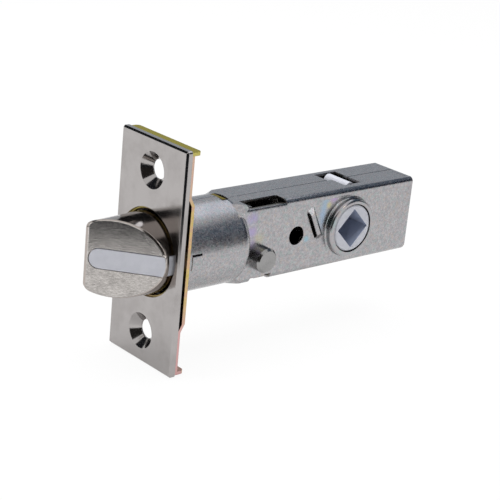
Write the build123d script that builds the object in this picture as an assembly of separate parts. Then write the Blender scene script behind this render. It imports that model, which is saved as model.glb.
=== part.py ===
from build123d import *
import math
import os

# Passage knob latch, millimetres.
# Origin: centre of the face plate's front face, on the bolt's axis.
# +X runs back into the door along the case, +Z is up, -Y is the pivot pin's head side.

# Face plate and backing plate
face_side_land = 1.3
face_height = 57.15
face_thick = 1.6
face_corner_r = 0.6
face_bevel = 0.45
bolt_hole_gap = 0.95
screw_spacing = 41.3
screw_hole_d = 4.8
screw_head_d = 9.2
sink_wall = 0.7
sink_gap = 0.15
backing_thick = 0.9
backing_side_inset = 0.3
backing_end_inset = 0.4
backing_flange = 2.1
flange_corner_r = 1.1
bend_r = 0.5
dish_half_height = 15.0
dish_slope = 2.0
tube_hole_gap = 0.15

# Latch bolt and its nylon insert
bolt_d = 20.4
bolt_tip_d = 19.3
bolt_projection = 14.6
bolt_travel = 14.4
bolt_stop_gap = 0.5
bevel_angle = 41.6
tip_land = 0.7
tip_round = 1.2
bolt_rim = 0.35
back_flat = 4.9
back_wall = 1.0
insert_width = 4.9
insert_drop = 0.2
insert_depth = 1.5
insert_proud = 0.2
insert_side_proud = 0.1
insert_gap = 0.18
insert_tip_margin = 0.5

# Case: two pressed half shells
sheet = 0.8
bolt_gap = 0.4
lip_reach = 0.8
lip_play = 1.2
lip_half_width = 8.0
box_width = 16.14
box_height = 20.9
box_corner_r = 1.9
shoulder_x = 25.2
shoulder_round = 3.2
taper_length = 3.2
backset = 60.325
hub_to_rear = 23.7
seam_gap = 0.2
cross_hole_d = 5.0
cross_hole_x = 42.0
cross_hole_z = 0.2

# Spindle hub and the windows over its lobe
hub_d = 12.6
hub_length = 20.0
hub_gap = 0.3
hub_face_chamfer = 0.3
spindle_square = 7.5
collar_extra = 0.5
collar_round = 0.7
collar_foot = 0.5
lobe_reach = 9.45
lobe_r = 1.7
lobe_angle = 15.6
lobe_far_y = 3.5
ear_gap = 0.72
window_half_width = 5.1
window_near_start = 0.25
window_far_start = -1.3
window_end = 6.35
window_gap = 0.35

# Lever, its pivot pin, stud and spacers
pivot_x = 30.2
pivot_z = -3.9
pivot_shank_d = 3.0
pivot_head_d = 6.5
pivot_head_height = 2.95
pivot_head_chamfer = 0.55
rivet_d = 5.0
rivet_height = 0.6
running_gap = 0.05
press_gap = 0.03
washer_d = 4.4
sleeve_d = 4.8
axial_gap = 0.1
lever_thick = 1.8
lever_lean = 30.0
lever_reach = 12.5
nose_r = 1.5
lever_boss_r = 3.2
stud_reach = 4.5
stud_r = 1.2
stud_boss_r = 2.6
arm_root = 2.9
arm_back = 1.0
arm_front = 2.0
slot_clearance = 0.45
lever_slot_half = 7.4
lever_slot_rim = 0.95
lever_slot_round = 0.5

# Retractor bar
bar_thick = 1.0
bar_depth = 3.2
bar_top_gap = 1.0
bar_hub_gap = 0.45
hole_clearance = 0.4
side_gap = 0.3
plate_gap = 0.3
prong_width = 2.1
ear_drop = 4.1
ear_end_y = -2.6

# Bolt tail
tail_thick = 1.8
tail_bottom = -0.9
tail_top = 2.9
tail_tenon = 3.0
hook_gap = 0.65
hook_thick = 1.8
hook_height = 3.1
hook_top_gap = 0.35

# Springs and the bolt spring's seat
spring_wire = 1.1
spring_r = 5.2
spring_turns = 6.5
spring_bore_gap = 0.35
seat_x = 20.9
seat_thick = 1.1
seat_gap = 0.3
seat_tab_width = 4.8
seat_notch_width = 5.4
seat_notch_front = 0.4
seat_notch_rear = 0.9
seat_tab_drop = 0.25
bar_wire = 0.6
bar_spring_r = 1.3
bar_spring_turns = 11.0
spring_end_gap = 0.05
wire_sides = 6

# Grip lances and the lower ear of the near shell
lance_x = 45.2
lance_z = 6.45
lance_length = 9.5
lance_tilt = 26.6
lance_flat = 1.15
lance_width = 2.1
lance_lift = 0.9
lance_top_ramp = 1.5
lance_low_ramp = 1.6
lance_slit = 0.5
lance_skin = 0.5
tube_lance_x = 5.2
tube_lance_length = 3.1
tube_lance_width = 3.6
tube_lance_lift = 0.2
tube_lance_slit = 0.45
tube_lance_z = 1.55
ear_width = 4.0
ear_reach = 0.45
ear_notch_front = 0.8
ear_notch_rear = 2.2
ear_cut_rise = 1.75

# Modelling margins: cutters run past, joined pieces run in, radii and picks stop short
over = 2.0
overlap = 0.2
near = 0.02
least_round = 0.4

# Worked out from the sizes above
bolt_r = bolt_d / 2
bolt_tip_r = bolt_tip_d / 2
hub_r = hub_d / 2
pivot_r = pivot_shank_d / 2
tube_r = bolt_r + bolt_gap + sheet
tube_inner_r = tube_r - sheet
face_width = 2 * (tube_r + face_side_land)
backing_front = face_thick
backing_rear = backing_front + backing_thick
dish_depth = sheet + lip_play
dish_front = backing_front + dish_depth
dish_rear = dish_front + backing_thick
lip_front = dish_front - sheet
lip_r = tube_r + lip_reach
rear_x = backset + hub_to_rear
half_w = box_width / 2
half_h = box_height / 2
inner_w = half_w - sheet
inner_h = half_h - sheet
hub_face = hub_length / 2
collar_bore = hub_r + hub_gap
collar_r = collar_bore + sheet + collar_extra

tip_x = -bolt_projection
bolt_rear = seat_x - bolt_travel - bolt_stop_gap
bevel_slope = math.tan(math.radians(bevel_angle))
bevel_tip_y = back_flat - tip_land
bevel_root_x = tip_x + bevel_slope * (bevel_tip_y + bolt_r)
bore_r = spring_r + spring_wire / 2 + spring_bore_gap

bar_y0 = -inner_w + side_gap
bar_y1 = bar_y0 + bar_thick
lever_y0 = bar_y1 + plate_gap
lever_y1 = lever_y0 + lever_thick
tail_y0 = lever_y1 + plate_gap
tail_y1 = tail_y0 + tail_thick

lean = math.radians(lever_lean)
nose_x = pivot_x - lever_reach * math.sin(lean)
stud_x = pivot_x - stud_reach * math.sin(lean)
stud_z = pivot_z + stud_reach * math.cos(lean)
hook_x = nose_x + nose_r + hook_gap
hook_top = inner_h - hook_top_gap
bar_travel = bolt_travel * stud_reach / lever_reach
bar_top = inner_h - bar_top_gap
ear_x = backset + lobe_reach * math.sin(math.radians(lobe_angle)) + lobe_r + ear_gap


def plate_xz(sketch, y0, y1):
    """Sketch of the XZ plane as a plate from y0 to y1."""
    plane = Plane((0, y1, 0), x_dir=(1, 0, 0), z_dir=(0, -1, 0))
    return extrude(plane * sketch, y1 - y0)


def prism_x(sketch, x0, x1):
    """Sketch of the YZ plane as a prism from x0 to x1."""
    return extrude(Plane.YZ.offset(x0) * sketch, x1 - x0)


def block(x0, x1, y0, y1, z0, z1):
    """Box between two corners."""
    centre = ((x0 + x1) / 2, (y0 + y1) / 2, (z0 + z1) / 2)
    return Pos(*centre) * Box(x1 - x0, y1 - y0, z1 - z0)


def rod_x(radius, x0, x1):
    """Round bar on the bolt's axis."""
    return prism_x(Circle(radius), x0, x1)


def rod_y(radius, x, z, y0, y1):
    """Round bar across the case."""
    return plate_xz(Pos(x, z) * Circle(radius), y0, y1)


def turn_about(x, profile):
    """Profile of radius and y, drawn in the XY plane, turned about the cross axis at x."""
    axis = Axis((x, 0, 0), (0, 1, 0))
    return revolve(Pos(x, 0) * profile, axis, 360)


def outline(*points):
    """Face inside a closed run of straight edges."""
    return make_face(Polyline(*points, close=True))


def coil(radius, wire, turns, x0, x1):
    """Coil spring along X between two end planes."""
    rise = x1 - x0 - wire
    path = Helix(pitch=rise / turns, height=rise, radius=radius)
    section = Plane(path @ 0, z_dir=path % 0) * RegularPolygon(wire / 2, wire_sides)
    return Pos(x0 + wire / 2, 0, 0) * Rot(0, 90, 0) * sweep(section, path, is_frenet=True)


def make_face_plate():
    """Bevelled plate with the bolt hole and two countersunk screw holes."""
    sheet_form = prism_x(RectangleRounded(face_width, face_height, face_corner_r), 0, face_thick)
    plate = chamfer(sheet_form.faces().sort_by(Axis.X)[0].edges(), face_bevel)
    plate -= rod_x(bolt_r + bolt_hole_gap, -over, face_thick + over)
    for side in (-1, 1):
        place = Pos(0, 0, side * screw_spacing / 2)
        plate = plate + place * sink_cup(0, face_thick - overlap) - place * screw_sink()
    return plate


def screw_sink():
    """Right-angled countersink with the screw's clearance hole behind it."""
    head_r = screw_head_d / 2
    hole_r = screw_hole_d / 2
    cone_depth = head_r - hole_r
    profile = outline(
        (-over, 0),
        (-over, head_r),
        (0, head_r),
        (cone_depth, hole_r),
        (dish_rear, hole_r),
        (dish_rear, 0),
    )
    return revolve(profile, Axis.X, 360)


def sink_cup(grow, front):
    """Pressed cone behind a countersink, filled, from front to the backing plate's rear face."""
    rear_r = screw_hole_d / 2 + sink_wall + grow
    front_r = rear_r + backing_rear - front
    profile = outline((front, 0), (front, front_r), (backing_rear, rear_r), (backing_rear, 0))
    return revolve(profile, Axis.X, 360)


def make_backing_plate():
    """Folded sheet: dished middle that holds the case's lip, flat ends and bent flanges."""
    end_z = face_height / 2 - backing_end_inset
    slope_z = dish_half_height + dish_slope
    flange_x = backing_rear + backing_flange
    upper = [
        (dish_front, 0),
        (dish_front, dish_half_height),
        (backing_front, slope_z),
        (backing_front, end_z),
        (flange_x, end_z),
        (flange_x, end_z - backing_thick),
        (backing_rear, end_z - backing_thick),
        (backing_rear, slope_z),
        (dish_rear, dish_half_height),
        (dish_rear, 0),
    ]
    half = outline(*upper)
    profile = half + mirror(half, Plane.XZ)
    bends = [v for v in profile.vertices() if abs(v.Y) < slope_z + over or v.X < backing_rear - bend_r]
    profile = fillet(bends, bend_r)
    width = face_width / 2 - backing_side_inset
    plate = plate_xz(profile, -width, width)
    tips = [e for e in plate.edges().filter_by(Axis.Z) if abs(e.center().Z) > slope_z]
    corners = [e for e in tips if e.center().X > flange_x - near]
    plate = fillet(corners, flange_corner_r)
    plate -= rod_x(tube_r + tube_hole_gap, backing_front - over, dish_rear + over)
    for side in (-1, 1):
        plate -= Pos(0, 0, side * screw_spacing / 2) * sink_cup(sink_gap, backing_front)
    return plate


def case_form(inset):
    """Outside of the closed case, drawn in by inset: tube, shoulder and box."""
    radius = tube_r - inset
    tube = rod_x(radius, lip_front, shoulder_x - inset)
    rim = tube.edges().filter_by(GeomType.CIRCLE).sort_by(Axis.X)[-1]
    tube = fillet(rim, max(shoulder_round - inset, least_round))
    reach = math.hypot(half_w - box_corner_r, half_h - box_corner_r) + box_corner_r
    rise = (reach - tube_r) / taper_length
    taper_x = shoulder_x - taper_length
    rear = rear_x - inset
    body = block(taper_x - over, rear, inset - half_w, half_w - inset, inset - half_h, half_h - inset)
    corners = body.edges().filter_by(Axis.X) + body.faces().sort_by(Axis.X)[-1].edges()
    body = fillet(corners, box_corner_r - inset)
    start_r = radius - rise * over
    end_r = radius + rise * (rear_x - taper_x)
    guard = outline((taper_x - over, 0), (taper_x - over, start_r), (rear_x, end_r), (rear_x, 0))
    body = body & revolve(guard, Axis.X, 360)
    return tube + body


def collar_profile():
    """Half section of the drawn collar round the hub, on the far side of the case."""
    wall = half_w - sheet
    top = hub_face
    with_foot = collar_r + collar_foot
    lines = [
        Line((collar_bore, wall), (collar_bore, top)),
        Line((collar_bore, top), (collar_r - collar_round, top)),
        RadiusArc((collar_r - collar_round, top), (collar_r, top - collar_round), collar_round),
        Line((collar_r, top - collar_round), (collar_r, half_w + collar_foot)),
        RadiusArc((collar_r, half_w + collar_foot), (with_foot, half_w), -collar_foot),
        Line((with_foot, half_w), (with_foot, wall)),
        Line((with_foot, wall), (collar_bore, wall)),
    ]
    return make_face(lines)


def grip_lance(side):
    """Louvre pressed out of the box's side wall, filled, and the hollow under it with its open slit."""
    tilt = math.radians(lance_tilt)
    across = (math.cos(tilt), 0, math.sin(tilt))
    down = (math.sin(tilt), 0, -math.cos(tilt))
    root = (lance_x, side * half_w, lance_z)
    sections = Plane(root, x_dir=across, z_dir=down)
    lengths = Plane(root, x_dir=down, z_dir=across)
    out = 1 if sections.y_dir.Y * side > 0 else -1
    low_end = lance_length - lance_low_ramp

    def form(skin, depth, slit):
        """Flat-topped ridge with a ramp at each end, its top lowered by skin and its foot at depth."""
        top = lance_lift - skin
        ridge = [(-slit, -depth), (-slit, top), (lance_flat, top)]
        ridge += [(lance_width, -skin), (lance_width, -depth)]
        ramps = [(0, -depth), (0, -skin), (lance_top_ramp, top), (low_end, top)]
        ramps += [(lance_length, -skin), (lance_length, -depth)]
        ridge_form = extrude(sections * outline(*[(u, out * y) for u, y in ridge]), lance_length)
        ramp_face = lengths.offset(-slit) * outline(*[(v, -out * y) for v, y in ramps])
        return ridge_form & extrude(ramp_face, lance_width + slit)

    return form(0, overlap, 0), form(lance_skin, 2 * sheet, lance_slit)


def tube_lance(side):
    """Small pad raised from the tube's side, and the slit along its upper edge."""
    x1 = tube_lance_x + tube_lance_length
    low = tube_lance_z - tube_lance_width
    far = side * (tube_r + over)
    zone = block(tube_lance_x, x1, min(0, far), max(0, far), low, tube_lance_z)
    pad = (rod_x(tube_r + tube_lance_lift, tube_lance_x, x1) - rod_x(tube_r - sheet / 2, 0, rear_x)) & zone
    slit = block(tube_lance_x, x1, min(0, far), max(0, far), tube_lance_z, tube_lance_z + tube_lance_slit)
    return pad, slit


def lever_slot():
    """Slot through the near shell's upper corner, over the lever's nose."""
    x0 = max(pivot_x - lever_slot_half, shoulder_x)
    x1 = pivot_x + lever_slot_half
    y1 = lever_y1 + plate_gap
    cut = block(x0, x1, -half_w - over, y1, half_h - lever_slot_rim, tube_r + over)
    inner_edge = cut.edges().filter_by(Axis.Z).sort_by(lambda e: e.center().X + e.center().Y)[-1]
    return fillet(inner_edge, lever_slot_round)


def lower_ear():
    """Rounded ear under the pivot pin, and the cut round it in the lower near corner."""
    x0 = pivot_x - ear_width / 2
    x1 = pivot_x + ear_width / 2
    top = -half_h + ear_cut_rise
    cut_x = (x0 - ear_notch_front, x1 + ear_notch_rear)
    cut = block(*cut_x, -half_w - over, -inner_w + over, -half_h - over, top)
    low = top - ear_reach
    radius = min(ear_width / 2, ear_reach) - near
    ear = block(x0, x1, -half_w, -inner_w, low, top + overlap)
    ear = fillet(ear.edges().filter_by(Axis.Y).group_by(Axis.Z)[0], radius)
    return ear, cut


def make_case_half(side):
    """One pressed half shell. side is -1 for the near half and 1 for the far half."""
    bore = rod_x(tube_inner_r, lip_front - over, shoulder_x - sheet - shoulder_round)
    shell = case_form(0) + rod_x(lip_r, lip_front, lip_front + sheet)
    shell = shell - case_form(sheet) - bore
    edge = seam_gap / 2
    far = lip_r + over
    y0, y1 = (edge, far) if side > 0 else (-far, -edge)
    half = shell & block(lip_front - over, rear_x + over, y0, y1, -far, far)
    half -= block(lip_front - over, dish_front, *sorted((side * lip_half_width, side * far)), -far, far)

    collar = turn_about(backset, collar_profile())
    if side < 0:
        collar = mirror(collar, Plane.XZ)
    half += collar
    half -= rod_y(collar_bore, backset, 0, *sorted((side * (inner_w - over), side * (hub_face + over))))
    half -= rod_y(cross_hole_d / 2, cross_hole_x, cross_hole_z, *sorted((0, side * (half_w + over))))
    half -= rod_y(pivot_r + running_gap, pivot_x, pivot_z, *sorted((0, side * (half_w + over))))

    louvre, hollow = grip_lance(side)
    half = half + louvre - hollow
    pad, slit = tube_lance(side)
    half = half + pad - slit

    notch = block(
        seat_x - seat_notch_front,
        seat_x + seat_thick + seat_notch_rear,
        -seat_notch_width / 2,
        seat_notch_width / 2,
        -tube_r - over,
        tube_r + over,
    )
    half -= notch - rod_x(tube_inner_r - sheet, lip_front, rear_x)
    start = window_near_start if side < 0 else window_far_start
    half -= block(
        backset + start,
        backset + window_end,
        *sorted((0, side * window_half_width)),
        inner_h - over,
        half_h + over,
    )
    if side < 0:
        half -= lever_slot()
        ear, cut = lower_ear()
        half = half - cut + ear
    return half


def make_pivot_pin():
    """Headed pin: chamfered head outside the near shell, riveted over on the far one."""
    head_r = pivot_head_d / 2
    head_y = half_w + pivot_head_height
    head = rod_y(head_r, pivot_x, pivot_z, -head_y, -half_w)
    rim = head.edges().filter_by(GeomType.CIRCLE).sort_by(Axis.Y)[0]
    head = chamfer(rim, pivot_head_chamfer)
    shank = rod_y(pivot_r, pivot_x, pivot_z, -half_w, half_w)
    rivet = rod_y(rivet_d / 2, pivot_x, pivot_z, half_w, half_w + rivet_height)
    top = rivet.edges().filter_by(GeomType.CIRCLE).sort_by(Axis.Y)[-1]
    rivet = fillet(top, rivet_height - near)
    return head + shank + rivet


def make_pivot_ring(diameter, y0, y1):
    """Spacer ring on the pivot pin."""
    ring = rod_y(diameter / 2, pivot_x, pivot_z, y0, y1)
    return ring - rod_y(pivot_r + running_gap, pivot_x, pivot_z, y0 - over, y1 + over)


def make_lever():
    """Lever plate: pivot boss, stud boss, arm and rounded nose, leaning forward at rest."""
    bosses = make_hull((Circle(lever_boss_r) + Pos(0, stud_reach) * Circle(stud_boss_r)).edges())
    waist = (stud_reach + lever_reach) / 2
    arm = outline(
        (-arm_root, stud_reach / 2),
        (stud_boss_r, stud_reach),
        (arm_back, waist),
        (arm_back, lever_reach),
        (-nose_r, lever_reach),
        (-arm_front, waist),
    )
    shape = bosses + arm + Pos(0, lever_reach) * Circle(nose_r)
    shape -= Circle(pivot_r + running_gap)
    shape -= Pos(0, stud_reach) * Circle(stud_r + press_gap)
    return plate_xz(Pos(pivot_x, pivot_z) * Rot(0, 0, lever_lean) * shape, lever_y0, lever_y1)


def make_stud():
    """Stud riveted into the lever, standing out towards the bar's fork."""
    return rod_y(stud_r, stud_x, stud_z, bar_y0 + axial_gap, lever_y1)


def make_bar():
    """Retractor bar: fork at the front, cranked over the cross hole, ear bent across at the rear."""
    fork_r = stud_r + slot_clearance
    fork_bottom = pivot_z + washer_d / 2 + hole_clearance
    fork_top = pivot_z + stud_reach
    x0 = stud_x - fork_r - prong_width
    x1 = stud_x + fork_r + prong_width
    low = cross_hole_z + cross_hole_d / 2 + hole_clearance
    high = low + bar_depth
    over_hub = hub_r + bar_hub_gap
    crank_x = backset - hub_r - bar_travel
    crank = over_hub - low
    end = ear_x + bar_thick
    sheet_form = outline(
        (x0, fork_bottom),
        (x1, fork_bottom),
        (x1, low),
        (crank_x - crank, low),
        (crank_x, over_hub),
        (end, over_hub),
        (end, bar_top),
        (crank_x - bar_thick, bar_top),
        (crank_x - bar_thick - bar_top + high, high),
        (x0, high),
    )
    fork = Pos(stud_x, fork_top) * Circle(fork_r)
    slot_low = fork_bottom - over
    slot = Rectangle(2 * fork_r, fork_top - slot_low)
    fork += Pos(stud_x, (fork_top + slot_low) / 2) * slot
    plate = plate_xz(sheet_form - fork, bar_y0, bar_y1)
    ear = block(ear_x, end, bar_y0, ear_end_y, bar_top - ear_drop, bar_top)
    bent = plate + ear
    rear = [e for e in bent.edges().filter_by(Axis.Z) if e.center().X > end - near]
    return fillet([e for e in rear if e.center().Y < bar_y0 + near], bend_r)


def make_hub():
    """Nylon hub: journals, wide round-tipped lobe under the windows, ahead of the bar's ear."""
    drum = rod_y(hub_r, backset, 0, -hub_face, hub_face)
    drum = chamfer(drum.edges().filter_by(GeomType.CIRCLE), hub_face_chamfer)
    arm = Pos(0, lobe_reach / 2) * Rectangle(2 * lobe_r, lobe_reach)
    arm += Pos(0, lobe_reach) * Circle(lobe_r)
    lobe_near_y = window_gap - window_half_width
    lobe = plate_xz(Pos(backset, 0) * Rot(0, 0, -lobe_angle) * arm, lobe_near_y, lobe_far_y)
    square = Pos(backset, 0) * Rot(0, 0, 45) * Rectangle(spindle_square, spindle_square)
    return drum + lobe - plate_xz(square, -hub_face - over, hub_face + over)


def insert_form(width, depth, proud, margin):
    """Strip that lies on the bevel, turns the corner and runs back along the bolt's near side."""
    angle = math.radians(bevel_angle)
    along = (math.sin(angle), -math.cos(angle))
    outward = (-math.cos(angle), -math.sin(angle))

    def bevel_point(y, lift):
        """Point of the bevel line at a given y, lifted off it."""
        x = tip_x + bevel_slope * (bevel_tip_y - y)
        return (x + outward[0] * lift, y + outward[1] * lift)

    def corner(side_y, lift):
        """Where the lifted bevel line meets a line along the bolt's side."""
        base = bevel_point(0, lift)
        step = (side_y - base[1]) / along[1]
        return (base[0] + along[0] * step, side_y)

    end_y = bevel_tip_y - margin
    outer = -bolt_r - proud
    inner = -bolt_r + depth
    side_view = outline(
        bevel_point(end_y, proud),
        corner(outer, proud),
        (bolt_rear, outer),
        (bolt_rear, inner),
        corner(inner, -depth),
        bevel_point(end_y, -depth),
    )
    strip = Pos(0, 0, -insert_drop - width / 2) * extrude(side_view, width)
    ends = [e for e in strip.edges() if abs(e.tangent_at(0).dot(Vector(*outward, 0))) > 1 - near]
    return fillet(ends, width / 2 - near)


def make_latch_bolt():
    """Round bolt with a bevel, a back flat, a groove for the insert and a bore for its spring."""
    profile = outline((tip_x, 0), (tip_x, bolt_tip_r), (0, bolt_r), (bolt_rear, bolt_r), (bolt_rear, 0))
    bolt = revolve(profile, Axis.X, 360)
    bolt = fillet(bolt.edges().filter_by(GeomType.CIRCLE).sort_by(Axis.X)[0], tip_round)
    far = bolt_r + over
    bevel = outline(
        (tip_x - far, bevel_tip_y + far / bevel_slope),
        (tip_x + bevel_slope * (bevel_tip_y + far), -far),
        (tip_x - far, -far),
    )
    bolt -= Pos(0, 0, -far) * extrude(bevel, 2 * far)
    bolt -= block(tip_x - over, bevel_root_x - back_wall, back_flat, far, -far, far)
    outward = Vector(-1, -bevel_slope, 0).normalized()
    slanted = [f for f in bolt.faces() if f.normal_at().dot(outward) > 1 - near]
    bolt = chamfer(slanted[0].edges(), bolt_rim)
    bolt -= rod_x(bore_r, bevel_root_x, bolt_rear + over)
    bolt -= tail_section(press_gap, bevel_root_x - tail_tenon - press_gap, bolt_rear)
    groove_margin = insert_tip_margin - insert_gap
    return bolt - insert_form(insert_width + 2 * insert_gap, insert_depth, over, groove_margin)


def make_insert():
    """Nylon strip, slightly proud of the bevel, its side rounded to the bolt."""
    strip = insert_form(insert_width, insert_depth, insert_proud, insert_tip_margin)
    return strip & rod_x(bolt_r + insert_side_proud, tip_x, bolt_rear)


def tail_section(grow, x0, x1):
    """Straight run of the tail, thickened by grow all round."""
    return block(x0, x1, tail_y0 - grow, tail_y1 + grow, tail_bottom - grow, tail_top + grow)


def make_tail():
    """Flat tail: tenon in the bolt, straight run through the spring, hook bent behind the lever's nose."""
    front = bevel_root_x - tail_tenon
    hook_end = hook_x + hook_thick
    behind_seat = seat_x + seat_thick + seat_gap
    clear_z = cross_hole_z + cross_hole_d / 2 + seat_gap
    rise_x = cross_hole_x - cross_hole_d / 2 - bolt_travel - 2 * seat_gap
    run = outline(
        (front, tail_bottom),
        (rise_x - (clear_z - tail_bottom) / 2, tail_bottom),
        (rise_x + (clear_z - tail_bottom) / 6, clear_z),
        (hook_end, clear_z),
        (hook_end, hook_top),
        (hook_x, hook_top),
        (hook_x, hook_top - hook_height / 2),
        (behind_seat + (hook_top - tail_top) / 4, hook_top - hook_height / 2),
        (behind_seat, tail_top),
        (front, tail_top),
    )
    strip = plate_xz(run, tail_y0, tail_y1)
    return strip + block(hook_x, hook_end, lever_y0, tail_y1, hook_top - hook_height, hook_top)


def make_spring_seat():
    """Disc behind the bolt's spring, with tabs that lock into the seam notches."""
    tabs = Rectangle(seat_tab_width, 2 * (tube_r - seat_tab_drop))
    disc = Circle(tube_inner_r - seat_gap) + tabs
    seat = prism_x(disc, seat_x, seat_x + seat_thick)
    return seat - tail_section(seat_gap, seat_x - over, seat_x + seat_thick + over)


def make_bar_spring():
    """Return spring from the bar's ear to the case's rear wall."""
    y = (bar_y0 + ear_end_y) / 2
    z = bar_top - ear_drop / 2
    x0 = ear_x + bar_thick + spring_end_gap
    return Pos(0, y, z) * coil(bar_spring_r, bar_wire, bar_spring_turns, x0, rear_x - sheet - spring_end_gap)


parts = {
    "face_plate": make_face_plate(),
    "backing_plate": make_backing_plate(),
    "case_near_half": make_case_half(-1),
    "case_far_half": make_case_half(1),
    "lever_pivot_pin": make_pivot_pin(),
    "pivot_washer": make_pivot_ring(washer_d, -inner_w, lever_y0 - axial_gap),
    "pivot_sleeve": make_pivot_ring(sleeve_d, lever_y1 + axial_gap, inner_w),
    "retractor_lever": make_lever(),
    "lever_stud": make_stud(),
    "retractor_bar": make_bar(),
    "bar_return_spring": make_bar_spring(),
    "spindle_hub": make_hub(),
    "latch_bolt": make_latch_bolt(),
    "bolt_insert": make_insert(),
    "bolt_tail": make_tail(),
    "bolt_spring_seat": make_spring_seat(),
    "bolt_spring": coil(
        spring_r, spring_wire, spring_turns, bevel_root_x + spring_end_gap, seat_x - spring_end_gap
    ),
}

os.makedirs("parts", exist_ok=True)
for name, shape in parts.items():
    export_step(shape, f"parts/{name}.step")
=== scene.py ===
import logging
import math
from dataclasses import dataclass
from enum import Enum
from typing import Any, Optional, Union

import bmesh
import bpy
from mathutils import Matrix, Vector


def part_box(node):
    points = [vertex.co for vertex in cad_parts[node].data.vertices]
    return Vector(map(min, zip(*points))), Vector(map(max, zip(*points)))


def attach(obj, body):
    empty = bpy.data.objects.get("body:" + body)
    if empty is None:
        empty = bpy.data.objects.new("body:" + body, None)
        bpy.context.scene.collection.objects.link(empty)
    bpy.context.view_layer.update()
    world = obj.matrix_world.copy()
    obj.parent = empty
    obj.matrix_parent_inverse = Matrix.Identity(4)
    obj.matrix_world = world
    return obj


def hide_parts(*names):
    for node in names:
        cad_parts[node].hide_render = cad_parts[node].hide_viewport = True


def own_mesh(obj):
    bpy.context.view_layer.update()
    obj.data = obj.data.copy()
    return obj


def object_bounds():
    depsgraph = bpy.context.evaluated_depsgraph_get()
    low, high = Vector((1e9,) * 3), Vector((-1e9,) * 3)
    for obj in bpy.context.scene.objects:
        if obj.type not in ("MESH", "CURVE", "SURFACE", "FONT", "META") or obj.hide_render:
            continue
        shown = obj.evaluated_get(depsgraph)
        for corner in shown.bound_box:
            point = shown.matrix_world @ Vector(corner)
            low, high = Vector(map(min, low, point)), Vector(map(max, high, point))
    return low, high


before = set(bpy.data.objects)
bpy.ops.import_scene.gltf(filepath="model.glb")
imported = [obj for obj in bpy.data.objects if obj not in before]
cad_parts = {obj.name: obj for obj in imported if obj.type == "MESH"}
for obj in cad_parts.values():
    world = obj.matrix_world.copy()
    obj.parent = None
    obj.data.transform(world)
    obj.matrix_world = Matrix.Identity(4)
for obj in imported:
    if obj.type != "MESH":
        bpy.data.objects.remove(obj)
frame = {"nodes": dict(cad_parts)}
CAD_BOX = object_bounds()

LOG = logging.getLogger("latch")
MM = 0.001
# Millimetres from the face plate's front to the hub's axis
HUB_X = 60.325
SHARP_ANGLE = math.radians(35.0)
BEVEL_SAMPLES = 6
Colour = tuple[float, float, float]
Triple = tuple[float, float, float]
Span = tuple[float, float]
Stops = tuple[tuple[float, Colour], ...]


class Op(Enum):
    """Math node operations used by the shader sums."""

    ADD = "ADD"
    SUBTRACT = "SUBTRACT"
    MULTIPLY = "MULTIPLY"
    ABSOLUTE = "ABSOLUTE"
    MAXIMUM = "MAXIMUM"


class Wire:
    """A shader socket that takes part in Python sums."""

    def __init__(self, sheet: "NodeSheet", socket: bpy.types.NodeSocket) -> None:
        """Keep the socket and the sheet that holds it."""
        self.sheet = sheet
        self.socket = socket

    def _sum(self, op: Op, other: Union["Wire", float], swap: bool = False) -> "Wire":
        """Add one Math node.

        Args:
            op: The operation.
            other: The other operand.
            swap: Whether the other operand comes first.

        Returns:
            The result's wire.
        """
        first, second = (other, self) if swap else (self, other)
        node = self.sheet.node("ShaderNodeMath", {"operation": op.value}, {0: first, 1: second})
        return Wire(self.sheet, node.outputs[0])

    def __add__(self, other: Union["Wire", float]) -> "Wire":
        """Sum."""
        return self._sum(Op.ADD, other)

    def __radd__(self, other: float) -> "Wire":
        """Sum with a number first."""
        return self._sum(Op.ADD, other, True)

    def __sub__(self, other: Union["Wire", float]) -> "Wire":
        """Difference."""
        return self._sum(Op.SUBTRACT, other)

    def __rsub__(self, other: float) -> "Wire":
        """Difference with a number first."""
        return self._sum(Op.SUBTRACT, other, True)

    def __mul__(self, other: Union["Wire", float]) -> "Wire":
        """Product."""
        return self._sum(Op.MULTIPLY, other)

    def __rmul__(self, other: float) -> "Wire":
        """Product with a number first."""
        return self._sum(Op.MULTIPLY, other, True)

    def __abs__(self) -> "Wire":
        """Size without sign."""
        return self._sum(Op.ABSOLUTE, 0.0)

    def greater(self, other: Union["Wire", float]) -> "Wire":
        """The larger of two values."""
        return self._sum(Op.MAXIMUM, other)

    def step(self, low: float, high: float) -> "Wire":
        """Ease from 0 at low to 1 at high.

        Args:
            low: Value that gives 0.
            high: Value that gives 1; below low for a falling step.

        Returns:
            The eased wire.
        """
        settings = {"interpolation_type": "SMOOTHSTEP"}
        ends = {1: min(low, high), 2: max(low, high)}
        node = self.sheet.node("ShaderNodeMapRange", settings, {0: self, **ends})
        rising = Wire(self.sheet, node.outputs[0])
        return rising if low < high else 1 - rising

    def span(self, ends: Span) -> "Wire":
        """Ease from 0 at the first of two places to 1 at the second, in millimetres."""
        return self.step(ends[0] * MM, ends[1] * MM)


Value = Union[Wire, float]
Paint = Union[Wire, Colour]


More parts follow.
